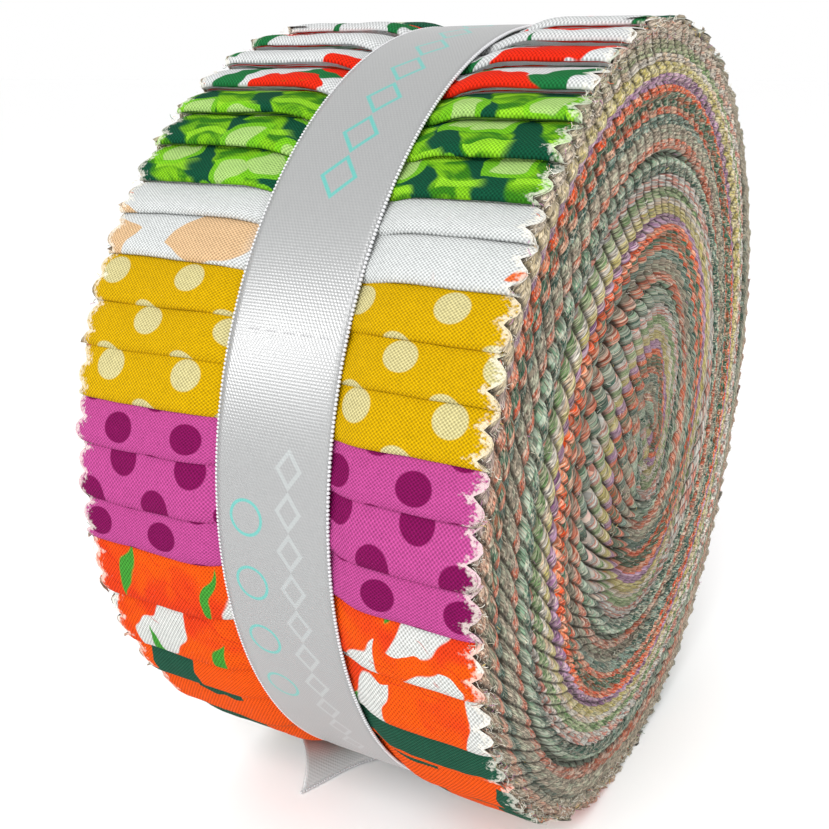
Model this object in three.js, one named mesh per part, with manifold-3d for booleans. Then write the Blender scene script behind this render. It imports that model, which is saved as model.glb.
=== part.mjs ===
import * as THREE from "three";
import { mergeVertices } from "three/addons/utils/BufferGeometryUtils.js";
import Module from "manifold-3d";

// A roll of forty cotton strips, each folded end to end and wound so that its fold shows on the outside,
// tied round the middle with a satin ribbon. Millimetres, +Z up, the front is -Y. The roll's axis runs
// along X, and the origin is on the resting surface, under the middle of the roll.

// Driving sizes
const STRIP_WIDTH = 63.5;
const ROLL_RADIUS = 63.5;
const AXIS_HEIGHT = 62.6;
const STRIP_PITCH = 0.5075;
const RIM_ROUNDING = 1.3;
const RIM_DROP = 1.1;
const GAP = 0.3;

// Where each strip's fold ends on the outside, in degrees from the back over the top, and how far the
// strip swells over the notch before it. The folds at the back and underneath are evenly spaced.
const SHOWN_FOLDS = [
  { end: 100.0, swell: 1.9 },
  { end: 108.5, swell: 2.0 },
  { end: 115.1, swell: 1.9 },
  { end: 121.5, swell: 2.0 },
  { end: 127.1, swell: 2.0 },
  { end: 133.4, swell: 1.8 },
  { end: 139.3, swell: 1.6 },
  { end: 143.9, swell: 1.4 },
  { end: 150.0, swell: 1.3 },
  { end: 156.0, swell: 1.2 },
  { end: 161.9, swell: 1.1 },
  { end: 168.4, swell: 1.1 },
  { end: 174.3, swell: 1.0 },
  { end: 181.9, swell: 1.2 },
  { end: 187.7, swell: 1.1 },
  { end: 196.5, swell: 1.3 },
  { end: 206.4, swell: 1.4 },
  { end: 213.4, swell: 1.3 },
];
const STRIP_COUNT = 40;
const HIDDEN_SWELL = 1.3;

// Across one strip's show, from its notch (0) to its fold (1): the share of the swell that is missing
const STRIP_SECTION = [
  { across: 0.0, missing: 1.0 },
  { across: 0.3, missing: 0.42 },
  { across: 0.68, missing: 0.05 },
  { across: 0.95, missing: 0.2 },
];

// Ribbon: its two selvedges along the roll's axis, its thickness, and the waist that it pulls in
const RIBBON_LEFT = -7.1;
const RIBBON_RIGHT = 10.3;
const RIBBON_THICKNESS = 1.0;
const WAIST_RADIUS = 61.0;
const WAIST_SLOPE = 3.8;
const BAND_SEGMENTS = 72;

// The ribbon's loose end, from the band to its tip: the selvedge that lies on the surface, and the
// heading of the ribbon's width from it in degrees, seen from above
const TAIL_STATIONS = [
  { x: 9.9, y: -7.0, heading: 180 },
  { x: 5.5, y: -14.5, heading: 195 },
  { x: -7.9, y: -23.2, heading: 184 },
  { x: -13.8, y: -37.3, heading: 180 },
];
const TAIL_WIDTH = 17.0;
const TAIL_CUT_SLANT = 0.85;
const TAIL_STEEPNESS = 0.88;
const TAIL_STEPS = { along: 16, across: 8 };
const TAIL_FLOOR_GAP = 0.1;

// The groove between the outer turn and the next, on both end faces
const GROOVE_STRIP = 34;
const GROOVE_HALF_WIDTH = 1.0;
const GROOVE_DEPTH = 1.3;
const GROOVE_INNER_RADIUS = 4;
const GROOVE_STEP_DEGREES = 10;

const radians = THREE.MathUtils.degToRad;
const wasm = await Module();
wasm.setup();

// Every strip's fold end in degrees, over one turn from the first one shown
function foldEnds() {
  const folds = [...SHOWN_FOLDS];
  const last = SHOWN_FOLDS.at(-1).end;
  const hidden = STRIP_COUNT - SHOWN_FOLDS.length;
  const spacing = (SHOWN_FOLDS[0].end + 360 - last) / (hidden + 1);
  for (let k = 1; k <= hidden; k++) folds.push({ end: last + k * spacing, swell: HIDDEN_SWELL });
  return folds;
}
const FOLDS = foldEnds();

// How many folds lie between the first one and an angle, with parts of a strip counted too
function foldsPassed(degrees) {
  const first = FOLDS[0].end;
  const turns = Math.floor((degrees - first) / 360);
  const within = degrees - turns * 360;
  const next = FOLDS.findIndex((fold) => fold.end > within);
  const after = next < 0 ? STRIP_COUNT : next;
  const end = next < 0 ? first + 360 : FOLDS[next].end;
  const start = FOLDS[after - 1].end;
  return turns * STRIP_COUNT + after - 1 + (within - start) / (end - start);
}

// The outline of the roll across its axis: a rounded step for each strip's fold
function outline() {
  return FOLDS.flatMap((fold, k) => {
    const start = k ? FOLDS[k - 1].end : FOLDS.at(-1).end - 360;
    return STRIP_SECTION.map(({ across, missing }) => ({
      angle: radians(start + across * (fold.end - start)),
      radius: ROLL_RADIUS - fold.swell * missing,
    }));
  });
}

// The radius at one place along the axis: drawn in at the rims, and level under the ribbon
function sections() {
  const half = STRIP_WIDTH / 2;
  const full = (radius) => radius;
  const rim = (radius) => radius - RIM_DROP;
  const waist = () => WAIST_RADIUS;
  return [
    { x: -half, shape: rim },
    { x: -half + RIM_ROUNDING, shape: full },
    { x: RIBBON_LEFT - GAP - WAIST_SLOPE, shape: full },
    { x: RIBBON_LEFT - GAP, shape: waist },
    { x: RIBBON_RIGHT + GAP, shape: waist },
    { x: RIBBON_RIGHT + GAP + WAIST_SLOPE, shape: full },
    { x: half - RIM_ROUNDING, shape: full },
    { x: half, shape: rim },
  ];
}

function geometryOf(points, triangles) {
  const geometry = new THREE.BufferGeometry().setFromPoints(points);
  geometry.setIndex(triangles.flat());
  return geometry;
}

// Two triangles for each cell between rows of points that all have the same count
function bridge(rows, count, closed) {
  const triangles = [];
  for (let r = 0; r + 1 < rows; r++) {
    for (let c = 0; c < (closed ? count : count - 1); c++) {
      const [a, b] = [r * count + c, r * count + ((c + 1) % count)];
      const [d, e] = [a + count, b + count];
      triangles.push([a, b, d], [b, e, d]);
    }
  }
  return triangles;
}

function solidOf(geometry) {
  const bare = geometry.clone();
  bare.deleteAttribute("normal");
  bare.deleteAttribute("uv");
  const merged = mergeVertices(bare, 1e-4);
  return new wasm.Manifold(
    new wasm.Mesh({
      numProp: 3,
      vertProperties: new Float32Array(merged.attributes.position.array),
      triVerts: new Uint32Array(merged.index.array),
    }),
  );
}

function geometryFrom(solid) {
  const { vertProperties, triVerts } = solid.getMesh();
  const geometry = new THREE.BufferGeometry();
  geometry.setAttribute("position", new THREE.BufferAttribute(vertProperties, 3));
  geometry.setIndex(new THREE.BufferAttribute(triVerts, 1));
  return geometry;
}

// The wound body, lofted through its sections, with flat end faces
function woundBody() {
  const rim = outline();
  const count = rim.length;
  const rows = sections();
  const points = rows.flatMap(({ x, shape }) =>
    rim.map(
      ({ angle, radius }) =>
        new THREE.Vector3(x, shape(radius) * Math.cos(angle), shape(radius) * Math.sin(angle)),
    ),
  );
  const triangles = bridge(rows.length, count, true);
  const [left, right] = [points.length, points.length + 1];
  const half = STRIP_WIDTH / 2;
  points.push(new THREE.Vector3(-half, 0, 0), new THREE.Vector3(half, 0, 0));
  const lastRow = (rows.length - 1) * count;
  for (let c = 0; c < count; c++) {
    const next = (c + 1) % count;
    triangles.push([left, next, c], [right, lastRow + c, lastRow + next]);
  }
  return solidOf(geometryOf(points, triangles));
}

// A V-shaped cutter that follows one strip as it winds inwards, for the end face on the given side
function spiralCutter(side) {
  const face = (side * STRIP_WIDTH) / 2;
  const points = [];
  const step = GROOVE_STEP_DEGREES;
  let degrees = 360 + FOLDS[0].end;
  while (foldsPassed(degrees) > GROOVE_STRIP + 2) degrees -= step;
  for (; ; degrees -= step) {
    const radius = ROLL_RADIUS - STRIP_PITCH * (GROOVE_STRIP - foldsPassed(degrees));
    if (radius < GROOVE_INNER_RADIUS) break;
    const at = (r, x) =>
      new THREE.Vector3(x, r * Math.cos(radians(degrees)), r * Math.sin(radians(degrees)));
    const above = face + side * GROOVE_DEPTH;
    points.push(at(radius - 2 * GROOVE_HALF_WIDTH, above));
    points.push(at(radius, face - side * GROOVE_DEPTH));
    points.push(at(radius + 2 * GROOVE_HALF_WIDTH, above));
  }
  const rows = points.length / 3;
  const last = points.length - 3;
  const triangles = [...bridge(rows, 3, true), [0, 2, 1], [last, last + 1, last + 2]];
  if (side < 0) triangles.forEach((triangle) => triangle.reverse());
  return solidOf(geometryOf(points, triangles));
}

// What lies under the resting surface is cut away, which leaves the small flat spot
function underSurface() {
  const size = 3 * ROLL_RADIUS;
  const block = new THREE.BoxGeometry(size, size, size);
  block.translate(0, 0, -AXIS_HEIGHT - size / 2);
  return solidOf(block);
}

function rollSolid() {
  return woundBody()
    .subtract(spiralCutter(1))
    .subtract(spiralCutter(-1))
    .subtract(underSurface());
}

// The ribbon's closed belt round the waist
function bandSolid() {
  const inner = WAIST_RADIUS + GAP;
  const outer = inner + RIBBON_THICKNESS;
  const profile = [
    new THREE.Vector2(inner, RIBBON_LEFT),
    new THREE.Vector2(outer, RIBBON_LEFT),
    new THREE.Vector2(outer, RIBBON_RIGHT),
    new THREE.Vector2(inner, RIBBON_RIGHT),
    new THREE.Vector2(inner, RIBBON_LEFT),
  ];
  const belt = new THREE.LatheGeometry(profile, BAND_SEGMENTS);
  belt.rotateZ(-Math.PI / 2);
  return solidOf(belt);
}

// How high the middle of the loose end may rise between the surface and the underside of the roll
function freeHeight(y) {
  const reach = ROLL_RADIUS + GAP;
  const height = AXIS_HEIGHT - Math.sqrt(reach * reach - y * y);
  return Math.max(0, height - RIBBON_THICKNESS - GAP);
}

// The middle of the loose end's cloth: along it from the band (0) to the cut (1), across from the
// selvedge on the surface (0) to the raised one (1)
function tailMiddle(path, headings, along, across) {
  const width = across * TAIL_WIDTH;
  const length = path.getLength();
  const reach = along * (1 - (TAIL_CUT_SLANT * width) / length);
  const foot = path.getPointAt(reach);
  const heading = radians(headings.getPointAt(along).x);
  const height = freeHeight(foot.y);
  const steps = 12;
  let [sideways, rise] = [0, 0];
  for (let k = 0; k < steps; k++) {
    const from = (width * k) / steps;
    const to = (width * (k + 1)) / steps;
    const risen = (w) => (height > 0 ? height * Math.tanh((TAIL_STEEPNESS * w) / height) : 0);
    const up = risen(to) - risen(from);
    rise += up;
    sideways += Math.sqrt((to - from) ** 2 - up ** 2);
  }
  const z = TAIL_FLOOR_GAP + RIBBON_THICKNESS / 2 + rise - AXIS_HEIGHT;
  return new THREE.Vector3(foot.x + sideways * Math.cos(heading), foot.y + sideways * Math.sin(heading), z);
}

// The loose end as a thin closed sheet about its middle
function tailSolid() {
  const stations = TAIL_STATIONS;
  const path = new THREE.CatmullRomCurve3(stations.map(({ x, y }) => new THREE.Vector3(x, y, 0)));
  const headings = new THREE.CatmullRomCurve3(
    stations.map(({ heading }, k) => new THREE.Vector3(heading, 100 * k, 0)),
  );
  const { along, across } = TAIL_STEPS;
  const at = (i, j) => tailMiddle(path, headings, i / along, j / across);
  const [top, bottom] = [[], []];
  for (let i = 0; i <= along; i++) {
    for (let j = 0; j <= across; j++) {
      const middle = at(i, j);
      const forward = at(Math.min(i + 1, along), j).sub(at(Math.max(i - 1, 0), j));
      const sideways = at(i, Math.min(j + 1, across)).sub(at(i, Math.max(j - 1, 0)));
      const half = sideways.cross(forward).setLength(RIBBON_THICKNESS / 2);
      top.push(middle.clone().add(half));
      bottom.push(middle.clone().sub(half));
    }
  }
  const columns = across + 1;
  const under = top.length;
  const triangles = bridge(along + 1, columns, false);
  for (const [a, b, c] of bridge(along + 1, columns, false)) {
    triangles.push([under + a, under + c, under + b]);
  }
  const edge = [];
  for (let j = 0; j < across; j++) edge.push(j);
  for (let i = 0; i < along; i++) edge.push(i * columns + across);
  for (let j = across; j > 0; j--) edge.push(along * columns + j);
  for (let i = along; i > 0; i--) edge.push(i * columns);
  edge.forEach((a, k) => {
    const b = edge[(k + 1) % edge.length];
    triangles.push([a, under + a, b], [b, under + a, under + b]);
  });
  return solidOf(geometryOf([...top, ...bottom], triangles));
}

function ribbonSolid() {
  return bandSolid().add(tailSolid());
}

const cotton = new THREE.MeshStandardMaterial({ color: 0xb9b2a2, roughness: 0.92, metalness: 0 });
const satin = new THREE.MeshStandardMaterial({ color: 0xd9d9d8, roughness: 0.38, metalness: 0 });

function part(name, solid, material) {
  const mesh = new THREE.Mesh(geometryFrom(solid), material);
  mesh.name = name;
  return mesh;
}

const roll = new THREE.Group();
roll.add(part("strip_roll", rollSolid(), cotton));
roll.add(part("ribbon", ribbonSolid(), satin));
roll.position.z = AXIS_HEIGHT;

export default roll;
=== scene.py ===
"""A roll of forty pinked cotton strips tied with a satin ribbon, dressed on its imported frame."""

import math
from functools import partialmethod

import bpy
import numpy as np
from mathutils import Matrix, Vector


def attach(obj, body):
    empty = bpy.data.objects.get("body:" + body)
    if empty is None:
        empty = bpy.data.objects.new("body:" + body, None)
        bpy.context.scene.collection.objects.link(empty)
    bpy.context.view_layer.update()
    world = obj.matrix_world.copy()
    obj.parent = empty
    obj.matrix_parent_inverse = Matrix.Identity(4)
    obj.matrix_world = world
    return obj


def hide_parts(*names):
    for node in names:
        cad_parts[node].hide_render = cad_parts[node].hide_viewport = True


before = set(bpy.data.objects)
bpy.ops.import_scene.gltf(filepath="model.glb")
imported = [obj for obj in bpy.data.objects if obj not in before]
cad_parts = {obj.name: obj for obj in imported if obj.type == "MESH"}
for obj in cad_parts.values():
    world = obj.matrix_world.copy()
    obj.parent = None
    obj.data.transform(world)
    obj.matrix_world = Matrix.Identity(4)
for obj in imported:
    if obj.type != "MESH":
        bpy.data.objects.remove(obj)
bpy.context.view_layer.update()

MM = 0.001
TURN = 2 * math.pi
DEGREE = math.pi / 180
ROUNDING = 1e-4

# The roll, in millimetres, as in the part's source
STRIPS = 40
STRIP_WIDTH = 63.5
HALF_WIDTH = STRIP_WIDTH / 2
ROLL_RADIUS = 63.5
AXIS_HEIGHT = 62.6
STRIP_PITCH = 0.5075

# Where each strip's fold ends, in degrees from the back over the top; the rest are evenly spaced
SHOWN_FOLD_ENDS = [
    100.0, 108.5, 115.1, 121.5, 127.1, 133.4, 139.3, 143.9, 150.0,
    156.0, 161.9, 168.4, 174.3, 181.9, 187.7, 196.5, 206.4, 213.4,
]
FIRST_FOLD = SHOWN_FOLD_ENDS[0]

# Pinked edge: one tooth, how far its tip stands past the strip's half width, how sharp its notch is,
# and how the teeth of neighbouring strips slip apart as they are wound
TOOTH_PITCH = 3.6
TOOTH_DEPTH = 1.8
TIP_REACH = 0.2
NOTCH_SHARPNESS = 2.2
ALIGNED_ANGLE = 108.0
ANGLE_PER_TOOTH_OF_SLIP = 350.0

# The wound ends: at which share of a strip its valley lies, how deep under the outside the steps of
# the folds still show, how deep the inner teeth are beside the outer ones, and how far the walls at
# the first and last rows go in
VALLEY_SHARE = 0.75
SETTLING_DEPTH = 2.5
INNER_TEETH = 0.42
WALL_DEPTH = 3.5

# The turn that stands out and looks twisted, because its notches are twice as close
KNOTTED_STRIPS = (14.5, 16.5)
KNOTTED_FOLDS = (-42.0, -20.0)

# The flattened middle: the radius where the strips end, the square of how far the flattening
# reaches, and how much narrower and taller it makes the turns
CORE_HOLE = 0.9
CORE_SPREAD = 320.0
CORE_NARROWER = 0.42
CORE_TALLER = 0.1

# Ribbon, as in the part's source
RIBBON_LEFT = -7.1
RIBBON_RIGHT = 10.3
RIBBON_RADIUS = 62.15
RIBBON_THICKNESS = 0.28
WAIST_DEPTH = 1.9
WAIST_SLOPE = 6.5


def add_object(name, data):
    """A new object in the scene, at the origin."""
    piece = bpy.data.objects.new(name, data)
    bpy.context.scene.collection.objects.link(piece)
    return piece


def set_stops(ramp, stops):
    """Gives a ramp its stops: where each starts, and its colour, which holds until the next."""
    ramp.interpolation = "CONSTANT"
    for number, (start, shade) in enumerate(stops):
        stop = ramp.elements[number] if number < 2 else ramp.elements.new(start)
        stop.position = start
        stop.color = shade


def set_points(mapping, points):
    """Gives a curve its points, with straight lines between them."""
    line = mapping.curves[0]
    line.points[0].location = points[0]
    for spot in points[1:-1]:
        line.points.new(*spot)
    line.points[-1].location = points[-1]
    for point in line.points:
        point.handle_type = "VECTOR"
    mapping.update()


class Number:
    """A number that a node gives, with its sums written as Python expressions."""

    def __init__(self, tree, socket):
        self.tree = tree
        self.socket = socket

    def math(self, operation, *others):
        inputs = dict(enumerate((self, *others)))
        made = self.tree.node("ShaderNodeMath", {"operation": operation}, inputs)
        return Number(self.tree, made.outputs[0])

    def __rsub__(self, other):
        return self.tree.number(other).math("SUBTRACT", self)

    def __rtruediv__(self, other):
        return self.tree.number(other).math("DIVIDE", self)

    __add__ = __radd__ = partialmethod(math, "ADD")
    __sub__ = partialmethod(math, "SUBTRACT")
    __mul__ = __rmul__ = partialmethod(math, "MULTIPLY")
    __truediv__ = partialmethod(math, "DIVIDE")
    __pow__ = partialmethod(math, "POWER")
    __neg__ = partialmethod(math, "MULTIPLY", -1.0)
    __abs__ = partialmethod(math, "ABSOLUTE")
    __lt__ = partialmethod(math, "LESS_THAN")
    __gt__ = partialmethod(math, "GREATER_THAN")
    floor = partialmethod(math, "FLOOR")
    fract = partialmethod(math, "FRACT")
    sin = partialmethod(math, "SINE")
    cos = partialmethod(math, "COSINE")
    exp = partialmethod(math, "EXPONENT")
    sqrt = partialmethod(math, "SQRT")
    least = partialmethod(math, "MINIMUM")
    most = partialmethod(math, "MAXIMUM")

    def ease(self, low, high):
        """A smooth step from 0 to 1 as this number goes from low to high."""
        made = self.tree.node(
            "ShaderNodeMapRange",
            {"interpolation_type": "SMOOTHSTEP"},
            {"Value": self, "From Min": low, "From Max": high},
        )
        return Number(self.tree, made.outputs[0])

    def bell(self, centre, width):
        """1 at the centre, and falling away over about the width to either side."""
        share = (self - centre) / width
        return (-(share * share)).exp()


class Tree:
    """A node tree, to which nodes are added by their type, their settings and their inputs."""

    def __init__(self, nodes_of):
        self.tree = nodes_of

    def node(self, kind, settings=None, inputs=None):
        """A new node: first its settings, or its ramp's stops or curve's points, and then its inputs."""
        made = self.tree.nodes.new(kind)
        for name, value in (settings or {}).items():
            if name == "stops":
                set_stops(made.color_ramp, value)
            elif name == "points":
                set_points(made.mapping, value)
            else:
                setattr(made, name, value)
        for name, value in (inputs or {}).items():
            if isinstance(value, Number):
                value = value.socket
            if isinstance(value, bpy.types.NodeSocket):
                self.tree.links.new(value, made.inputs[name])
            else:
                made.inputs[name].default_value = value
        return made

    def number(self, value):
        if isinstance(value, Number):
            return value
        made = self.node("ShaderNodeValue")
        made.outputs[0].default_value = value
        return Number(self, made.outputs[0])

    def vector(self, x=0.0, y=0.0, z=0.0):
        return self.node("ShaderNodeCombineXYZ", None, {"X": x, "Y": y, "Z": z}).outputs[0]

    def noise(self, x, y=0.0, z=0.0, detail=2.0):
        """A soft noise between 0 and 1, with one lump for each unit of x, y and z."""
        inputs = {"Vector": self.vector(x, y, z), "Scale": 1.0, "Detail": detail}
        made = self.node("ShaderNodeTexNoise", None, inputs)
        return Number(self, made.outputs["Fac"])

    def speck(self, x, y=0.0, z=0.0):
        """An unrelated number between 0 and 1 for each place."""
        made = self.node("ShaderNodeTexWhiteNoise", None, {"Vector": self.vector(x, y, z)})
        return Number(self, made.outputs["Value"])

    def mix(self, share, first, second):
        """The first colour, with a share of the second; a Mix node's colours are its inputs 6 and 7."""
        made = self.node("ShaderNodeMix", {"data_type": "RGBA"}, {0: share, 6: first, 7: second})
        return made.outputs[2]


class Shape(Tree):
    """A geometry tree whose inputs are named sizes, and whose last steps make a plain mesh."""

    def __init__(self, name, sizes):
        super().__init__(bpy.data.node_groups.new(name, "GeometryNodeTree"))
        kinds = {int: "NodeSocketInt", float: "NodeSocketFloat"}
        self.entries = {}
        for label, value in sizes.items():
            entry = self.tree.interface.new_socket(label, in_out="INPUT", socket_type=kinds[type(value)])
            entry.default_value = value
            self.entries[label] = entry
        self.tree.interface.new_socket("Mesh", in_out="OUTPUT", socket_type="NodeSocketGeometry")
        self.given = self.node("NodeGroupInput")
        self.sizes = sizes

    def size(self, label):
        return Number(self, self.given.outputs[label])

    def index(self):
        return Number(self, self.node("GeometryNodeInputIndex").outputs[0])

    def grid(self, rows, columns):
        """A grid of points whose index is row x columns + column."""
        made = self.node("GeometryNodeMeshGrid", None, {"Vertices X": rows, "Vertices Y": columns})
        return made.outputs["Mesh"]

    def place(self, mesh, x, y, z):
        """Moves every point to x, y and z in millimetres from the roll's axis."""
        spot = self.vector(x * MM, y * MM, (z + AXIS_HEIGHT) * MM)
        return self.node("GeometryNodeSetPosition", None, {"Geometry": mesh, "Position": spot}).outputs[0]

    def keep(self, mesh, name, value, kind="FLOAT"):
        """Writes a value on every point, for the material to read."""
        made = self.node(
            "GeometryNodeStoreNamedAttribute",
            {"data_type": kind, "domain": "POINT"},
            {"Geometry": mesh, "Name": name, "Value": value},
        )
        return made.outputs[0]

    def kept(self, name):
        """The third number of a value that was kept on the points, for a choice of faces."""
        made = self.node("GeometryNodeInputNamedAttribute", {"data_type": "FLOAT_VECTOR"}, {"Name": name})
        parts = self.node("ShaderNodeSeparateXYZ", None, {0: made.outputs[0]})
        return Number(self, parts.outputs[2])

    def drop(self, mesh, selection):
        """Takes away the points where the selection is not 0."""
        made = self.node("GeometryNodeDeleteGeometry", {"domain": "POINT"}, {0: mesh, 1: selection})
        return made.outputs[0]

    def dress(self, mesh, materials):
        """Ends the tree: one plain mesh, smooth, with a material for each selection of its faces."""
        mesh = self.node("GeometryNodeRealizeInstances", None, {0: mesh}).outputs[0]
        mesh = self.node("GeometryNodeSetShadeSmooth", None, {0: mesh}).outputs[0]
        for material, selection in materials:
            inputs = {"Geometry": mesh, "Material": material}
            if selection is not None:
                inputs["Selection"] = selection
            mesh = self.node("GeometryNodeSetMaterial", None, inputs).outputs[0]
        end = self.node("NodeGroupOutput")
        self.tree.links.new(mesh, end.inputs[0])

    def build(self, name, **changes):
        """The tree's mesh as a plain object, with some of its sizes changed."""
        start = add_object(name + "_rule", bpy.data.meshes.new(name + "_rule"))
        modifier = start.modifiers.new("rule", "NODES")
        modifier.node_group = self.tree
        for label, entry in self.entries.items():
            modifier[entry.identifier] = changes.get(label.replace(" ", "_"), self.sizes[label])
        return plain_mesh(start, name)


def plain_mesh(start, name):
    """The evaluated shape of an object as a mesh of its own, with no modifier left."""
    bpy.context.view_layer.update()
    shown = start.evaluated_get(bpy.context.evaluated_depsgraph_get())
    mesh = bpy.data.meshes.new_from_object(shown)
    bpy.data.objects.remove(start)
    mesh.name = name
    return add_object(name, mesh)


def colour(red, green, blue):
    """A linear colour from the 0 to 255 numbers that a screen shows."""
    shown = [part / 255 for part in (red, green, blue)]
    linear = [share / 12.92 if share <= 0.04045 else ((share + 0.055) / 1.055) ** 2.4 for share in shown]
    return (*linear, 1.0)


def between(value, limits):
    """1 where the value lies between two limits, and 0 elsewhere."""
    low, high = limits
    return (value > low) * (value < high)


# Cottons


def notch(phase):
    """How near a place is to the notch between two teeth: 0 at a tooth's tip and 1 in the notch."""
    return abs(phase.fract() * 2 - 1)


# Each cotton in the order of the folds: how many strips, its colour where the cut edges show, and a
# second colour that its print adds there
COTTONS = [
    {"name": "petals", "strips": 4, "edge": (206, 204, 196), "print": (205, 90, 60)},
    {"name": "meadow", "strips": 3, "edge": (112, 146, 92), "print": (192, 204, 160)},
    {"name": "pebbles", "strips": 2, "edge": (210, 204, 192), "print": (214, 180, 140)},
    {"name": "mustard_dots", "strips": 3, "edge": (190, 176, 102), "print": (214, 205, 165)},
    {"name": "plum_dots", "strips": 3, "edge": (158, 116, 152), "print": (205, 168, 195)},
    {"name": "orange_leaves", "strips": 2, "edge": (226, 82, 30), "print": (235, 150, 110)},
    {"name": "pine_blocks", "strips": 4, "edge": (60, 108, 84), "print": (190, 90, 50)},
    {"name": "orange_blocks", "strips": 2, "edge": (205, 82, 45), "print": (214, 180, 150)},
    {"name": "pine_sprigs", "strips": 3, "edge": (66, 98, 86), "print": (150, 175, 160)},
    {"name": "stone_dots", "strips": 4, "edge": (150, 138, 120), "print": (176, 184, 158)},
    {"name": "rose_dots", "strips": 3, "edge": (196, 104, 76), "print": (206, 186, 168)},
    {"name": "mint_sprigs", "strips": 4, "edge": (172, 188, 168), "print": (108, 150, 118)},
    {"name": "pine_dots", "strips": 3, "edge": (58, 92, 78), "print": (150, 165, 150)},
]
THREAD_WHITE = colour(226, 222, 210)
YARN_ENDS = colour(214, 200, 178)
FUZZ = colour(186, 168, 146)
# The colour of the painted shade in the cut edges' notches, in the crevices between strips, on the walls and
# where strips sit further in
PAINTED_SHADE = colour(50, 45, 38)
YARN_WIDTH = 0.2
YARN_SHADOW_WIDTH = 0.26
WEAVE_PITCH = 0.56

# How far the dots of one strip are shifted from those of the last, across it and along it
STRIP_SHIFT = (5.3, 2.1)


class Cloth(Tree):
    """A material whose patterns are drawn in millimetres on the cloth: x across it, y along it."""

    def __init__(self, name, place):
        self.material = bpy.data.materials.new(name)
        self.material.use_nodes = True
        super().__init__(self.material.node_tree)
        self.tree.nodes.clear()
        spot = self.node("ShaderNodeAttribute", {"attribute_name": place}).outputs["Vector"]
        parts = self.node("ShaderNodeSeparateXYZ", None, {0: spot})
        self.x, self.y, self.z = (Number(self, parts.outputs[k]) for k in range(3))

    def attribute(self, name):
        return Number(self, self.node("ShaderNodeAttribute", {"attribute_name": name}).outputs["Fac"])

    def brightness(self, shade, value):
        """The shade with its brightness multiplied."""
        return self.node("ShaderNodeHueSaturation", None, {"Value": value, "Color": shade}).outputs[0]

    def dots(self, x, y, pitch, radius, blur=0.12):
        """1 in round dots that stand in staggered rows."""
        row_pitch = pitch / 2
        along = y / row_pitch
        shifted = x / pitch + (along.floor() / 2).fract()
        dx = (shifted.fract() - 0.5) * pitch
        dy = (along.fract() - 0.5) * row_pitch
        return (dx * dx + dy * dy).sqrt().ease(radius + blur, radius - blur)

    def leaves(self, x, y, cell, length, width, seed, lean=0.0, spread=TURN, blur=0.15):
        """1 in pointed leaves, one in each cell of an uneven layout, turned at random about the lean."""
        x = x + seed * 31.7
        y = y + seed * 17.3
        spots = self.node(
            "ShaderNodeTexVoronoi",
            {"voronoi_dimensions": "2D"},
            {"Vector": self.vector(x, y), "Scale": 1 / cell, "Randomness": 0.75},
        )
        middle = self.node("ShaderNodeSeparateXYZ", None, {0: spots.outputs["Position"]})
        chance = self.node("ShaderNodeSeparateColor", None, {0: spots.outputs["Color"]})
        dx = x - Number(self, middle.outputs[0])
        dy = y - Number(self, middle.outputs[1])
        angle = Number(self, chance.outputs[0]) * spread + lean
        ahead = dx * angle.cos() + dy * angle.sin()
        aside = dy * angle.cos() - dx * angle.sin()
        edge = width * (1 - (ahead / length) * (ahead / length))
        return (edge - abs(aside)).ease(-blur, blur)

    def finish(self, shade, rough, height, distance, sheen=0.0, specular=0.3):
        """Ends the material with its colour, its roughness and a bump of so many millimetres."""
        relief = {"Strength": 1.0, "Distance": distance * MM, "Height": height}
        bump = self.node("ShaderNodeBump", None, relief)
        surface = self.node(
            "ShaderNodeBsdfPrincipled",
            None,
            {
                "Base Color": shade,
                "Roughness": rough,
                "Normal": bump.outputs[0],
                "Sheen Weight": sheen,
                "Specular IOR Level": specular,
            },
        )
        out = self.node("ShaderNodeOutputMaterial")
        self.tree.links.new(surface.outputs[0], out.inputs[0])
        return self.material


def woven(cloth, shade):
    """Finishes a printed cotton: its plain weave, whose hollows are darkened as painted shade, its uneven
    yarns and fuzzy pinked edge.
    """
    across = (cloth.x * (TURN / WEAVE_PITCH)).sin()
    along = (cloth.y * (TURN / WEAVE_PITCH)).sin()
    weave = across * along
    slow, fast = 0.35, 4.0
    slub = cloth.noise(cloth.x * slow, cloth.y * fast, 0.0) + cloth.noise(cloth.x * fast, cloth.y * slow, 3.0)
    # The weave term darkens the weave's hollows as painted shade; the slub term is the yarns' own uneven tone
    light = 0.7 + weave * 0.3 + (slub - 1.0) * 0.22
    shade = cloth.brightness(shade, light)
    fuzz = cloth.noise(cloth.x * 1.7, cloth.y * 1.7, 7.0, detail=4.0)
    near_edge = (cloth.attribute("edge") + (fuzz - 0.5) * 5.0).ease(1.5, 0.3)
    frayed = cloth.mix(0.35, THREAD_WHITE, shade)
    shade = cloth.mix(near_edge * 0.85, shade, frayed)
    height = weave * 0.5 + slub * 0.6 + near_edge * fuzz * 2.0
    return cloth.finish(shade, 0.92, height, 0.11, specular=0.06)


def plain(cloth):
    """A height for a bump of a material that has none."""
    return cloth.noise(cloth.x, cloth.y, 0.0)


def uneven(cloth, amount, size):
    """The cloth's x and y shaken a little, so that printed outlines look drawn by hand."""
    x, y = cloth.x, cloth.y
    shaken_x = x + (cloth.noise(x / size, y / size, 1.0, detail=0.0) - 0.5) * amount
    shaken_y = y + (cloth.noise(x / size, y / size, 8.0, detail=0.0) - 0.5) * amount
    return shaken_x, shaken_y


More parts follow.
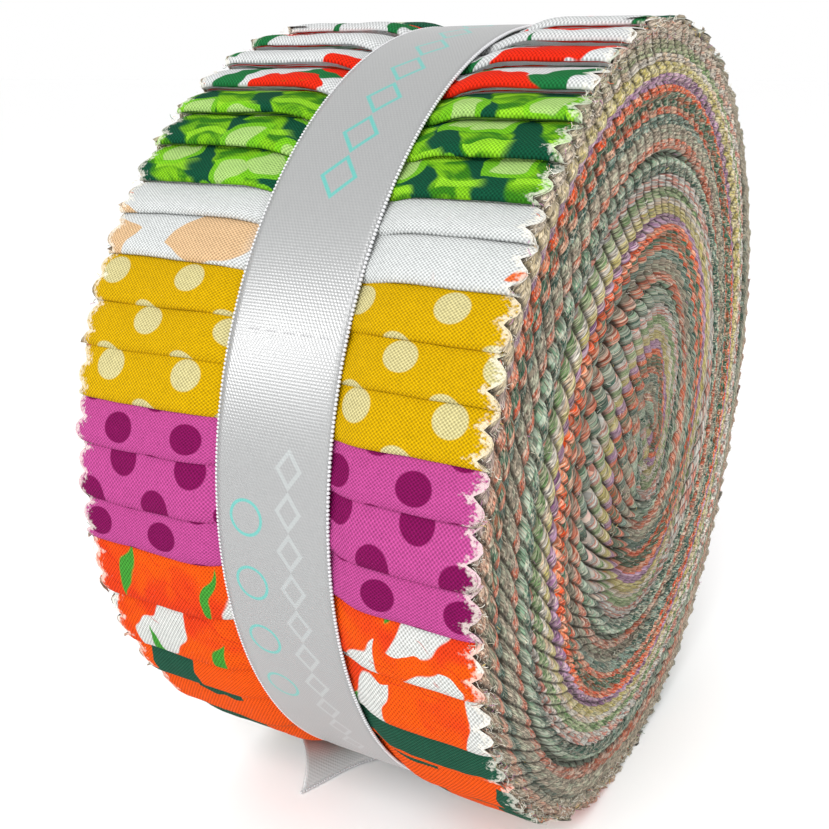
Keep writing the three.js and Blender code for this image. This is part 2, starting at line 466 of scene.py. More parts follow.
def petals(cloth):
    """Red petals with brown veins, and green leaves, on white."""
    x, y = uneven(cloth, amount=3.0, size=2.6)
    green_leaves = cloth.leaves(x, y, cell=19, length=10.5, width=2.1, seed=3, lean=0.35, spread=0.8)
    red_petals = cloth.leaves(x, y, cell=21, length=10.0, width=3.6, seed=1, lean=-0.25, spread=0.7)
    hearts = cloth.leaves(x, y, cell=21, length=8.0, width=2.4, seed=1, lean=-0.25, spread=0.7)
    veins = cloth.noise(x / 4, y * 1.6, 6.0).ease(0.62, 0.7)
    shade = cloth.mix(green_leaves, colour(212, 214, 214), colour(30, 112, 60))
    shade = cloth.mix(red_petals, shade, colour(226, 42, 18))
    return cloth.mix(hearts * veins * 0.7, shade, colour(150, 80, 20))


def meadow(cloth):
    """Two mottled greens, with dark slanting bands, bright rows, and pale spots with lime rims."""
    x, y = uneven(cloth, amount=3.4, size=4.0)
    mottle = cloth.noise(x / 4.5, y / 3.0, 2.0).ease(0.42, 0.62)
    band = ((x + y * 0.55) / 11.0 + cloth.noise(x / 9, y / 9, 5.0) * 0.6).fract()
    row = ((y - x * 0.12) / 6.2).fract()
    rims = cloth.leaves(x, y, cell=10.5, length=4.4, width=3.5, seed=5, lean=0.3, spread=0.6)
    spots = cloth.leaves(x, y, cell=10.5, length=3.0, width=2.3, seed=5, lean=0.3, spread=0.6)
    shade = cloth.mix(mottle, colour(54, 122, 24), colour(122, 186, 28))
    shade = cloth.mix(band.ease(0.5, 0.58) * band.ease(0.99, 0.92), shade, colour(14, 76, 52))
    shade = cloth.mix(row.ease(0.72, 0.8) * band.ease(0.7, 0.5) * 0.8, shade, colour(150, 214, 44))
    shade = cloth.mix(rims * 0.8, shade, colour(120, 196, 30))
    return cloth.mix(spots * 0.8, shade, colour(176, 206, 128))


def pebbles(cloth):
    """Wide sand ovals at the left and small orange crumbs at the right, on white."""
    x, y = uneven(cloth, amount=2.0, size=5.0)
    ovals = cloth.leaves(x, y, cell=24, length=8.0, width=5.0, seed=9, lean=0.1, spread=0.5) * x.ease(-4, -9)
    crumbs = cloth.leaves(x, y, cell=9, length=1.3, width=0.7, seed=2) * x.ease(20, 24)
    shade = cloth.mix(ovals, colour(210, 213, 212), colour(216, 180, 138))
    return cloth.mix(crumbs, shade, colour(226, 104, 52))


def dotted(ground, dot, pitch, radius):
    def shade(cloth):
        x = cloth.x + cloth.z * STRIP_SHIFT[0]
        y = cloth.y + cloth.z * STRIP_SHIFT[1]
        return cloth.mix(cloth.dots(x, y, pitch, radius), ground, dot)

    return shade


def orange_leaves(cloth):
    """White and green leaves on mottled orange, with fine red veins."""
    x, y = uneven(cloth, amount=3.0, size=3.5)
    mottle = cloth.noise(x / 8, y / 8, 4.0).ease(0.4, 0.62)
    white_leaves = cloth.leaves(x, y, cell=15, length=8.5, width=2.6, seed=6, lean=0.4, spread=0.9)
    green_leaves = cloth.leaves(x, y, cell=17, length=4.0, width=0.9, seed=8, lean=0.9, spread=0.6)
    lines = abs((y * 1.1 + x * 0.5).sin()).ease(0.16, 0.05)
    veins = lines * cloth.noise(x / 6, y / 6, 9.0).ease(0.5, 0.56)
    shade = cloth.mix(mottle, colour(240, 86, 12), colour(226, 62, 22))
    shade = cloth.mix(white_leaves, shade, colour(212, 214, 210))
    shade = cloth.mix(veins * 0.55, shade, colour(190, 40, 20))
    return cloth.mix(green_leaves, shade, colour(66, 150, 52))


def blocks(ground, block):
    def shade(cloth):
        x, y = uneven(cloth, amount=1.6, size=3.0)
        width, length = 8.5, 4.6
        square = cloth.speck((x / width + cloth.z * 0.37).floor(), (y / length).floor(), 5.0)
        return cloth.mix(square.ease(0.52, 0.54), ground, block)

    return shade


def sprigs(ground, leaf):
    def shade(cloth):
        small_leaves = cloth.leaves(cloth.x, cloth.y, cell=7, length=3.0, width=0.8, seed=12)
        return cloth.mix(small_leaves, ground, leaf)

    return shade


PRINTS = {
    "petals": petals,
    "meadow": meadow,
    "pebbles": pebbles,
    "mustard_dots": dotted(colour(204, 162, 0), colour(206, 196, 140), pitch=13.0, radius=2.3),
    "plum_dots": dotted(colour(186, 74, 142), colour(124, 14, 82), pitch=11.5, radius=2.4),
    "orange_leaves": orange_leaves,
    "pine_blocks": blocks(colour(34, 84, 64), colour(240, 86, 16)),
    "orange_blocks": blocks(colour(230, 84, 28), colour(226, 216, 200)),
    "pine_sprigs": sprigs(colour(34, 82, 66), colour(120, 170, 130)),
    "stone_dots": dotted(colour(176, 168, 152), colour(228, 222, 210), pitch=9.0, radius=1.6),
    "mint_sprigs": sprigs(colour(196, 214, 196), colour(70, 140, 90)),
    "rose_dots": dotted(colour(206, 120, 116), colour(238, 222, 212), pitch=8.0, radius=1.4),
    "pine_dots": dotted(colour(32, 84, 62), colour(196, 206, 178), pitch=10.0, radius=1.3),
}


def printed_cotton(name):
    """The material of one cotton, with its print and its weave."""
    cloth = Cloth("cotton_" + name, "cloth")
    return woven(cloth, PRINTS[name](cloth))


def cut_edges():
    """The pinked edges of all the wound strips: their colours, pale yarn ends, and painted shade in the
    notches between teeth, in the crevices between strips, on the walls and where strips sit further in.
    """
    cloth = Cloth("cotton_cut_edges", "cloth")
    place, along, phase = cloth.x, cloth.y, cloth.z
    from_valley = place + (1 - VALLEY_SHARE)
    strip = from_valley.floor()
    across = from_valley.fract()
    first_strips = [sum(cotton["strips"] for cotton in COTTONS[:k]) for k in range(len(COTTONS))]
    ground, second = (
        cloth.node(
            "ShaderNodeValToRGB",
            {"stops": [(n / STRIPS, colour(*cotton[key])) for n, cotton in zip(first_strips, COTTONS)]},
            {0: (strip + 0.5) / STRIPS},
        ).outputs[0]
        for key in ("edge", "print")
    )
    set_in = cloth.attribute("depth")
    bare = (1 - set_in.ease(-0.2, -0.6)) * 0.85 + 0.15
    printed = cloth.noise(along / 2.2, strip * 1.7, 1.0, detail=1.0).ease(0.48, 0.58)
    shade = cloth.mix(printed * 0.75 * bare, ground, second)
    wound = cloth.attribute("wound")
    inside = wound.ease(59.0, 64.0)
    outer = (wound + (cloth.noise(along / 1.6, place * 0.8, 4.0) - 0.5) * 9.0).ease(8.0, 3.0)
    shade = cloth.mix(outer * 0.75, shade, FUZZ)
    side_of_strip = (place * 2.0).floor()
    yarns = cloth.speck((along / YARN_WIDTH).floor(), side_of_strip, 2.0)
    shade = cloth.mix(yarns.ease(0.4, 1.0) * 0.7 * bare, shade, YARN_ENDS)
    light = cloth.speck((along / YARN_SHADOW_WIDTH).floor(), side_of_strip, 9.0)
    shade = cloth.brightness(shade, 0.28 + 0.98 * light)
    # Painted shade in the crevices between neighbouring strips
    crevice_shade = abs(across - 0.5).ease(0.3, 0.5) * cloth.noise(along / 2.5, strip * 0.9, 6.0).ease(0.4, 0.65)
    # Painted shade in the notches between teeth
    gap = notch(phase + cloth.noise(along * 0.9, strip * 0.7, 5.0) * 0.07).ease(0.62, 0.96)
    lines = crevice_shade * (0.5 - inside * 0.3) + gap * (0.74 + inside * 0.2)
    # Darkening towards the painted shade colour in notches and crevices, and, through the kept depth, where
    # strips sit further in and on the walls
    dark = (lines + set_in.ease(0.1, 1.1) * 0.5).least(0.93)
    shade = cloth.mix(dark, shade, PAINTED_SHADE)
    fuzz = cloth.noise(along * 2.5, place * 2.0, 0.0)
    return cloth.finish(shade, 0.95, fuzz, 0.2, sheen=0.1, specular=0.1)


# Shapes of the wound strips


def fold_angle(shape, count):
    """The angle in degrees at which so many folds have been passed since the first, over any turns."""
    hidden = STRIPS - len(SHOWN_FOLD_ENDS)
    spacing = (FIRST_FOLD + 360 - SHOWN_FOLD_ENDS[-1]) / (hidden + 1)
    ends = SHOWN_FOLD_ENDS + [SHOWN_FOLD_ENDS[-1] + spacing * (k + 1) for k in range(hidden + 1)]
    points = [(number / STRIPS, (end - FIRST_FOLD) / 360) for number, end in enumerate(ends)]
    turns = count / STRIPS
    made = shape.node("ShaderNodeFloatCurve", {"points": points}, {"Value": turns.fract()})
    return FIRST_FOLD + 360 * (turns.floor() + Number(shape, made.outputs[0]))


def swell(count):
    """How far a strip's fold swells over the notch before it, which is most over the top at the front."""
    within = (count / STRIPS).fract() * STRIPS
    return 1.3 + 0.7 * within.bell(3.0, 4.0) - 0.3 * within.bell(12.0, 3.5)


def tooth_phase(shape, strip, degrees):
    """How many teeth have been passed along a strip, counted from the roll's inside."""
    angle = degrees * DEGREE
    growth = STRIPS * STRIP_PITCH / TURN
    start = ROLL_RADIUS - STRIPS / 2 * STRIP_PITCH - growth * math.radians(FIRST_FOLD)
    arc = angle * start + angle * angle * (growth / 2)
    slip = (degrees - ALIGNED_ANGLE) / ANGLE_PER_TOOTH_OF_SLIP
    return arc / shape.size("Tooth pitch") + (STRIPS // 2 - strip) * (slip - (slip + 0.5).floor())


def strip_slip(shape, strip, degrees):
    """How far a strip has slid back into the roll, in millimetres, at one place along it."""
    wander = shape.noise(strip * 0.16, degrees / 70, shape.size("Seed"), detail=0.0)
    own = shape.speck(strip, 3.0, shape.size("Seed"))
    return (wander - 0.3).most(0.0) * 2.0 + own * 0.12


def end_turns_rule(material):
    """One end of the roll: the pinked edges of forty strips, wound inwards, as teeth on a fine relief."""
    shape = Shape(
        "end_turns_rule",
        {
            "Columns": 845,
            "First column": 0,
            "Column step": 0.6,
            "Rows to a strip": 3,
            "Side": 1.0,
            "Tooth pitch": TOOTH_PITCH,
            "Tooth depth": TOOTH_DEPTH,
            "Crevice": 0.15,
            "Looseness": 2.0,
            "Seed": 1.0,
        },
    )
    rows_to_a_strip = shape.size("Rows to a strip")
    rows = rows_to_a_strip * STRIPS + 2
    index = shape.index()
    column = (index / rows + ROUNDING).floor()
    line = index - column * rows - 1
    row = line.most(0.0).least(rows - 3)
    wall = abs(line - row) > 0.5
    strip = (row / rows_to_a_strip + ROUNDING).floor()
    part = row - strip * rows_to_a_strip
    valley = part > rows_to_a_strip - 1.5
    share = part * 0.5 * (1 - valley) + VALLEY_SHARE * valley
    place = strip + share
    travelled = (column + shape.size("First column")) * shape.size("Column step")
    run = TURN * ROLL_RADIUS * (STRIPS - 1) / STRIPS - travelled
    gain = STRIPS / TURN
    outer = run.most(0.0) * (gain / ROLL_RADIUS)
    left = (ROLL_RADIUS**2 + run.least(0.0) * (2 * STRIP_PITCH * gain)).most(0.0)
    inner = (left.sqrt() - ROLL_RADIUS) / STRIP_PITCH
    count = outer + inner
    degrees = fold_angle(shape, count)
    under = (place - count + 0.2) * STRIP_PITCH
    unsettled = (under / -SETTLING_DEPTH).exp()
    dip = (1 - count.fract()) ** 1.5 * (swell(count) - STRIP_PITCH) * unsettled
    radius = ROLL_RADIUS - under - dip - shape.size("Looseness") * (1 - unsettled)
    angle = degrees * DEGREE
    along = radius * angle
    knotted = between(strip, KNOTTED_STRIPS) * between(count, KNOTTED_FOLDS)
    phase = tooth_phase(shape, place, degrees) * (1 + knotted)
    standing = under.ease(1.8, 0.5).most(radius.ease(32.5, 30.0))
    full = INNER_TEETH + (1 - INNER_TEETH) * standing
    cut = notch(phase) ** NOTCH_SHARPNESS * shape.size("Tooth depth") * full
    waver = shape.noise(along / 9.0, strip * 0.21, shape.size("Seed") * 7.0, detail=1.0)
    slid = strip_slip(shape, strip, degrees) + set_back(place, count) * (0.55 + 0.9 * waver)
    depth = cut + slid + valley * shape.size("Crevice") + wall * WALL_DEPTH
    core = (-(radius * radius) / CORE_SPREAD).exp()
    lowest = 0.2 - AXIS_HEIGHT
    mesh = shape.grid(shape.size("Columns"), rows)
    mesh = shape.place(
        mesh,
        (HALF_WIDTH + TIP_REACH - depth) * shape.size("Side"),
        radius * angle.cos() * (1 - CORE_NARROWER * core),
        (radius * angle.sin() * (1 + CORE_TALLER * core)).most(lowest),
    )
    mesh = shape.keep(mesh, "cloth", shape.vector(place, along, phase), "FLOAT_VECTOR")
    # The kept depth also darkens the cut edges' colour as painted shade where strips sit further in, in the
    # valleys and on the walls
    mesh = shape.keep(mesh, "depth", slid / 2.0 + valley * 0.15 + wall)
    mesh = shape.keep(mesh, "wound", strip - count)
    mesh = shape.drop(mesh, (count - strip).most(CORE_HOLE - radius) > 0.0)
    shape.dress(mesh, [(material, None)])
    return shape


# Where a group of strips sits further in than its neighbours, or stands out where the depth is less
# than nothing: the middle strip, how many strips to each side, and from and to which count of folds
SET_BACKS = [
    {"strip": 34.0, "spread": 1.1, "from": -56.0, "to": 24.0, "depth": 1.9},
    {"strip": 1.8, "spread": 1.0, "from": -36.0, "to": -22.0, "depth": 2.0},
    {"strip": 5.0, "spread": 0.9, "from": -56.0, "to": -42.0, "depth": 1.2},
    {"strip": 13.0, "spread": 0.8, "from": -41.0, "to": -18.0, "depth": 1.1},
    {"strip": 15.8, "spread": 1.0, "from": -42.0, "to": -20.0, "depth": -1.0},
    {"strip": 27.5, "spread": 2.2, "from": -38.0, "to": -14.0, "depth": 1.1},
    {"strip": 13.9, "spread": 0.8, "from": -4.0, "to": 14.0, "depth": 0.5},
    {"strip": 18.9, "spread": 1.2, "from": -2.0, "to": 19.0, "depth": 0.8},
    {"strip": 25.0, "spread": 0.8, "from": 0.0, "to": 24.0, "depth": 0.6},
    {"strip": 9.0, "spread": 0.8, "from": -2.0, "to": 8.0, "depth": 0.5},
]


def set_back(strip, count):
    """How far the groups above put a strip back, in millimetres, after so many folds."""
    fade = 3
    total = 0.0
    for group in SET_BACKS:
        start, end = group["from"], group["to"]
        window = count.ease(start - fade, start + fade) * count.ease(end + fade, end - fade)
        total = strip.bell(group["strip"], group["spread"]) * window * group["depth"] + total
    return total


# The outer folds: at which share of a strip its rounded fold starts, how much cloth shows on one and
# how far its print lies from the last strip's, and how its ends droop
FOLD_START = 0.74
FOLD_CLOTH = 7.6
PRINT_STEP = 23.7
DROOP_START = 28.5
DROOP_REACH = 3.2
DROOP = 0.55


def outer_folds_rule(materials):
    """The outside of the roll: one rounded fold for each strip, its ends pinked, drawn in by the ribbon."""
    shape = Shape(
        "outer_folds_rule",
        {
            "Rows to a strip": 16,
            "Columns": 46,
            "Tooth pitch": TOOTH_PITCH,
            "Tooth depth": TOOTH_DEPTH,
            "Tucked": 0.14,
            "Fold depth": 1.05,
            "Wrinkle": 0.6,
            "Seed": 1.0,
        },
    )
    index = shape.index()
    columns = shape.size("Columns")
    rows_to_a_strip = shape.size("Rows to a strip")
    line = (index / columns + ROUNDING).floor()
    column = index - line * columns
    strip = (line / rows_to_a_strip + ROUNDING).floor()
    part = (line - strip * rows_to_a_strip) / (rows_to_a_strip - 1)
    tucked = shape.size("Tucked")
    share = (1 - (1 - part) ** 1.7) * (1 + tucked) - tucked
    side = column / (columns - 1) * 2 - 1
    side = side * (1.22 - 0.22 * side * side)
    bend = (shape.noise(side * 1.6, strip * 3.7, shape.size("Seed")) - 0.5) * 0.16
    degrees = fold_angle(shape, (strip - 1 + share).least(strip)) + bend * share.most(0.0) * 7.0
    cut = notch(tooth_phase(shape, strip, degrees)) ** NOTCH_SHARPNESS * shape.size("Tooth depth")
    slid = strip_slip(shape, strip, degrees)
    edge = HALF_WIDTH + TIP_REACH - cut - slid * 0.6
    across = side * edge
    ribbon_middle = (RIBBON_LEFT + RIBBON_RIGHT) / 2
    off_ribbon = (abs(across - ribbon_middle) - (RIBBON_RIGHT - RIBBON_LEFT) / 2).most(0.0)
    pinch = (1 - off_ribbon / WAIST_SLOPE).most(0.0) ** 2
    lift = swell(strip) * (1 - 0.45 * pinch)
    rise = (1 - share).most(0.0) ** 1.6 * lift
    over = ((share - FOLD_START) / (1 - FOLD_START)).most(0.0)
    fold = (1 - (1 - over * over).most(0.0).sqrt()) * shape.size("Fold depth")
    wrinkle = (shape.noise(across / 7, degrees / 5, strip * 5.1) - 0.5) * shape.size("Wrinkle") * (1 - pinch)
    droop = ((abs(across) - DROOP_START).most(0.0) / DROOP_REACH) ** 2 * DROOP
    radius = ROLL_RADIUS - rise - fold - WAIST_DEPTH * pinch + wrinkle - droop
    angle = degrees * DEGREE
    mesh = shape.grid(STRIPS * rows_to_a_strip, columns)
    mesh = shape.place(mesh, across, radius * angle.cos(), (radius * angle.sin()).most(-AXIS_HEIGHT))
    along = (1 - share) * FOLD_CLOTH + strip * PRINT_STEP
    mesh = shape.keep(mesh, "cloth", shape.vector(across, along, strip), "FLOAT_VECTOR")
    mesh = shape.keep(mesh, "edge", edge - abs(across))
    own_strip = shape.kept("cloth")
    slack = 0.2
    chosen = []
    start = 0
    for cotton, material in zip(COTTONS, materials):
        end = start + cotton["strips"]
        chosen.append((material, (own_strip + slack - start).least(end - slack - own_strip) > 0.0))
        start = end
    shape.dress(mesh, chosen)
    return shape


def loose_threads_rule(material):
    """Short frayed threads standing from one end of the roll, each a thin bent tube."""
    shape = Shape(
        "loose_threads_rule",
        {
            "Threads": 5200,
            "Length": 0.62,
            "Thickness": 0.07,
            "Farthest in": 3.0,
            "Crowding": 1.3,
            "Spread": 1.2,
            "Side": 1.0,
            "Seed": 1.0,
        },
    )
    index = shape.index()
    seed, side, spread = shape.size("Seed"), shape.size("Side"), shape.size("Spread")
    angle = shape.speck(index, 1.0, seed) * TURN
    inwards = shape.speck(index, 2.0, seed) ** shape.size("Crowding") * shape.size("Farthest in")
    radius = ROLL_RADIUS - 0.9 - inwards
    across = (HALF_WIDTH - 0.5 - shape.speck(index, 3.0, seed) * 1.6) * side
    line = shape.node("GeometryNodeMeshLine", None, {"Count": shape.size("Threads")}).outputs[0]
    lowest = 0.8 - AXIS_HEIGHT
    spots = shape.place(line, across, radius * angle.cos(), (radius * angle.sin()).most(lowest))
    length = shape.size("Length") * MM
    bent = shape.node(
        "GeometryNodeCurveQuadraticBezier",
        None,
        {
            "Resolution": 4,
            "Start": (0.0, 0.0, 0.0),
            "Middle": shape.vector(length * side * 0.7, length * 0.15, 0.0),
            "End": shape.vector(length * side * 0.8, length * 0.6, length * 0.2),
        },
    )
    thickness = shape.size("Thickness") * (MM / 2)
    ring = shape.node("GeometryNodeCurvePrimitiveCircle", None, {"Resolution": 3, "Radius": thickness})
    thread = shape.node("GeometryNodeCurveToMesh", None, {0: bent.outputs[0], 1: ring.outputs[0]}).outputs[0]
    turned = shape.vector(
        shape.speck(index, 4.0, seed) * TURN,
        (shape.speck(index, 5.0, seed) - 0.5) * 2 * spread,
        (shape.speck(index, 6.0, seed) - 0.5) * 2 * spread,
    )
    grown = 0.45 + 0.9 * shape.speck(index, 7.0, seed)
    placed = shape.node(
        "GeometryNodeInstanceOnPoints",
        None,
        {"Points": spots, "Instance": thread, "Rotation": turned, "Scale": shape.vector(grown, grown, grown)},
    )
    tinted = shape.node(
        "GeometryNodeStoreNamedAttribute",
        {"data_type": "FLOAT", "domain": "INSTANCE"},
        {"Geometry": placed.outputs[0], "Name": "tint", "Value": shape.speck(index, 8.0, seed)},
    )
    shape.dress(tinted.outputs[0], [(material, None)])
    return shape


# The threads' colours, and from which share of the threads on each is used
THREAD_TINTS = [
    (0.0, (232, 228, 216)),
    (0.42, (214, 206, 184)),
    (0.6, (196, 190, 176)),
    (0.72, (226, 200, 120)),
    (0.78, (214, 110, 70)),
    (0.83, (110, 140, 110)),
    (0.89, (186, 130, 168)),
    (0.94, (90, 110, 96)),
]


def thread_cotton():
    """Undyed yarn, and now and then a thread that took the print's colour."""
    cloth = Cloth("cotton_threads", "none")
    stops = [(start, colour(*shade)) for start, shade in THREAD_TINTS]
    ramp = cloth.node("ShaderNodeValToRGB", {"stops": stops}, {0: cloth.attribute("tint")})
    return cloth.finish(ramp.outputs[0], 0.9, plain(cloth), 0.0, specular=0.1)


# Ribbon

# The dashed mark across the ribbon, in millimetres along it and across it
DASHES = {"along": 128.0, "from": -4.4, "pitch": 2.75, "length": 1.8, "count": 5}

SATIN = colour(132, 133, 133)
SATIN_LIGHT = colour(145, 149, 149)
SATIN_DARK = colour(96, 96, 98)
AQUA = colour(66, 152, 144)
RIB_PITCH = 0.42
TWILL_PITCHES = (0.5, 0.8)

# Over this stretch, in millimetres along it, the ribbon brightens towards its loose end: painted light that
# lifts the loose end out of the roll's shadow
TAIL_PAINTED_LIGHT = (403.0, 408.0)


def ribbon_satin():
    """White satin: fine ribs across it, a soft shine, and rows of plain lozenges and rings printed on it."""
    cloth = Cloth("ribbon_satin", "ribbon")
    across, along = cloth.x, cloth.y
    rib = (along * (TURN / RIB_PITCH)).sin()
    twill = (across * (TURN / TWILL_PITCHES[0]) + along * (TURN / TWILL_PITCHES[1])).sin()
    threads = cloth.noise(across * 3.2, along * 0.5, 0.0)
    shade = cloth.brightness(SATIN, 0.93 + rib * 0.03 + twill * 0.04 + threads * 0.1)

    def lozenges(start, count, pitch, centre, half_width, half_length, line):
        cell = (along - start) / pitch
        dx = abs(across - centre) / half_width
        dy = abs(cell.fract() - 0.5) * (pitch / half_length)
        outline = abs(dx + dy - 1).ease(line + 0.05, line - 0.05)
        return outline * between(cell, (0.0, float(count)))

    def rings(start, count, pitch, centre, radius, line):
        cell = (along - start) / pitch
        dx = across - centre
        dy = (cell.fract() - 0.5) * pitch
        outline = abs((dx * dx + dy * dy).sqrt() - radius).ease(line + 0.08, line - 0.08)
        return outline * between(cell, (0.0, float(count)))

    large = lozenges(start=146.0, count=7, pitch=7.4, centre=2.0, half_width=2.5, half_length=3.1, line=0.14)
    small = lozenges(start=58.0, count=10, pitch=5.6, centre=4.4, half_width=1.7, half_length=2.3, line=0.2)
    shade = cloth.mix(large, shade, AQUA)
    shade = cloth.mix(rings(start=70.0, count=4, pitch=9.6, centre=-2.3, radius=2.4, line=0.22), shade, AQUA)
    shade = cloth.mix(small, shade, SATIN_LIGHT)
    step = (across - DASHES["from"]) / DASHES["pitch"]
    dash = (step.fract() < DASHES["length"] / DASHES["pitch"]) * between(step, (0.0, float(DASHES["count"])))
    dash = dash * abs(along - DASHES["along"]).ease(0.18, 0.08)
    shade = cloth.mix(dash * 0.85, shade, SATIN_DARK)
    # The loose end's brightening is painted light, standing in for the light that the shadow under the roll
    # keeps off it
    shade = cloth.brightness(shade, 1 + 0.9 * along.ease(*TAIL_PAINTED_LIGHT))
    height = rib * 0.22 + twill * 0.3 + threads * 0.3
    return cloth.finish(shade, 0.3 + threads * 0.1, height, 0.03, sheen=0.05, specular=1.0)


# The ribbon's path: the loose end's stations (x, y and heading), its width and cut, and the gap it
# keeps; then from and to which angle the band goes, and how many rows and columns of points there are
TAIL_STATIONS = [(9.9, -7.0, 180.0), (5.5, -14.5, 195.0), (-7.9, -23.2, 184.0), (-13.8, -37.3, 180.0)]
TAIL_WIDTH = 17.0
TAIL_CUT_SLANT = 0.85
TAIL_STEEPNESS = 0.88
TAIL_GAP = 0.3
SOLID_THICKNESS = 1.0
BAND_START = 275.0
BAND_END = -96.5
BAND_ROWS = 420
TAIL_ROWS = 46
RIBBON_COLUMNS = 19

# At its start the band sits this much deeper, and after a full turn this much further out, so that
# it passes clear over its own start; its two edges cup inwards
START_SINK = 0.3
START_REACH = 25.0
END_RISE = 0.1
END_REACH = 12.0
EDGE_CUP = 0.12


def smooth_line(points, steps):
    """Points at even steps along a smooth line through the given ones."""
    points = np.array(points, float)
    ends = np.vstack([2 * points[0] - points[1], points, 2 * points[-1] - points[-2]])
    fine = []
    for k in range(len(points) - 1):
        a, b, c, d = ends[k : k + 4]
        t = np.linspace(0, 1, 60, endpoint=False)[:, None]
        squared = (2 * a - 5 * b + 4 * c - d) * t**2
        cubed = (3 * b - a - 3 * c + d) * t**3
        fine.append(0.5 * (2 * b + (c - a) * t + squared + cubed))
    fine = np.vstack([*fine, points[-1:]])
    length = np.concatenate([[0], np.cumsum(np.linalg.norm(np.diff(fine[:, :2], axis=0), axis=1))])
    at = np.linspace(0, 1, steps) * length[-1]
    return np.stack([np.interp(at, length, fine[:, c]) for c in range(fine.shape[1])], axis=1), length[-1]


def tail_point(line, length, along, across):
    """The middle of the loose end's cloth, as in the part's source."""
    width = across * TAIL_WIDTH
    reach = along * (1 - TAIL_CUT_SLANT * width / length) * (len(line) - 1)
    x, y = (np.interp(reach, np.arange(len(line)), line[:, c]) for c in range(2))
    heading = math.radians(np.interp(along * (len(line) - 1), np.arange(len(line)), line[:, 2]))
    roof = AXIS_HEIGHT - math.sqrt((ROLL_RADIUS + TAIL_GAP) ** 2 - y * y)
    free = max(0.0, roof - SOLID_THICKNESS - TAIL_GAP)
    sideways = rise = 0.0
    steps = 10
    for k in range(steps):
        start, end = width * k / steps, width * (k + 1) / steps
        up = 0.0
        if free:
            up = free * (math.tanh(TAIL_STEEPNESS * end / free) - math.tanh(TAIL_STEEPNESS * start / free))
        rise += up
        sideways += math.sqrt((end - start) ** 2 - up**2)
    z = 0.1 + SOLID_THICKNESS / 2 + rise
    return x + sideways * math.cos(heading), y + sideways * math.sin(heading), z


def ribbon_grid():
    """Rows of points along the ribbon, from its hidden start round the roll to the tip of its loose end."""
    shares = np.linspace(0, 1, RIBBON_COLUMNS)
    x = RIBBON_LEFT + (RIBBON_RIGHT - RIBBON_LEFT) * shares
    cup = EDGE_CUP * (2 * shares - 1) ** 4
    rows = []
    places = []
    travelled = 0.0
    for degrees in np.linspace(BAND_START, BAND_END, BAND_ROWS):
        lap = BAND_START - degrees
        sink = START_SINK * math.exp(-((lap / START_REACH) ** 2))
        radius = RIBBON_RADIUS - sink + END_RISE * math.exp(-(((360 - lap) / END_REACH) ** 2))
        angle = math.radians(degrees)
        r = radius - cup
        rows.append(np.stack([x, r * math.cos(angle), r * math.sin(angle) + AXIS_HEIGHT], axis=1))
        travelled = math.radians(lap) * radius
        places.append(np.stack([x, np.full(RIBBON_COLUMNS, travelled)], axis=1))
    line, length = smooth_line(TAIL_STATIONS, 121)
    for along in np.linspace(0, 1, TAIL_ROWS)[2:]:
        rows.append(np.array([tail_point(line, length, along, 1 - share) for share in shares]))
        places.append(np.stack([x, np.full(RIBBON_COLUMNS, travelled + along * length)], axis=1))
    return np.array(rows), np.array(places)


def make_ribbon():
    """The ribbon as a thin sheet, with its flat place kept on every point, and its rows of points."""
    rows, places = ribbon_grid()
    count, columns = rows.shape[:2]
    cells = [
        (r * columns + c, r * columns + c + 1, (r + 1) * columns + c + 1, (r + 1) * columns + c)
        for r in range(count - 1)
        for c in range(columns - 1)
    ]
    mesh = bpy.data.meshes.new("ribbon_sheet")
    mesh.from_pydata((rows.reshape(-1, 3) * MM).tolist(), [], cells)
    kept = mesh.attributes.new("ribbon", "FLOAT_VECTOR", "POINT")
    flat = np.concatenate([places.reshape(-1, 2), np.zeros((count * columns, 1))], axis=1)
    kept.data.foreach_set("vector", flat.astype(np.float32).ravel())
    mesh.shade_smooth()
    mesh.materials.append(ribbon_satin())
    piece = add_object("ribbon_sheet", mesh)
    solid = piece.modifiers.new("thickness", "SOLIDIFY")
    solid.thickness = RIBBON_THICKNESS * MM
    solid.offset = 0.0
    return plain_mesh(piece, "ribbon_sheet"), rows


def picots(rows):
    """The tiny loops along both woven edges of the ribbon, as beads along two lines."""
    shape = Shape("picots_rule", {"Spacing": 0.55, "Bead": 0.27})
    points = np.concatenate([rows[:, 0], rows[:, -1]]) * MM
    count = len(rows)
    joins = [(start + k, start + k + 1) for start in (0, count) for k in range(count - 1)]
    edge = bpy.data.meshes.new("ribbon_edges")
    edge.from_pydata(points.tolist(), joins, [])
    lines = add_object("ribbon_edges", edge)
    taken = shape.node("GeometryNodeObjectInfo", None, {"Object": lines}).outputs["Geometry"]
    curve = shape.node("GeometryNodeMeshToCurve", None, {0: taken}).outputs[0]
    spacing = shape.size("Spacing") * MM
    spots = shape.node("GeometryNodeResampleCurve", {"mode": "LENGTH"}, {"Curve": curve, "Length": spacing})
    radius = shape.size("Bead") * MM
    bead = shape.node("GeometryNodeMeshIcoSphere", None, {"Radius": radius, "Subdivisions": 1})
    beads = shape.node(
        "GeometryNodeInstanceOnPoints", None, {"Points": spots.outputs[0], "Instance": bead.outputs[0]}
    )
    cloth = Cloth("ribbon_picots", "none")
    shape.dress(beads.outputs[0], [(cloth.finish(colour(196, 196, 198), 0.5, plain(cloth), 0.0), None)])
    made = shape.build("ribbon_picots")
    bpy.data.objects.remove(lines)
    return made


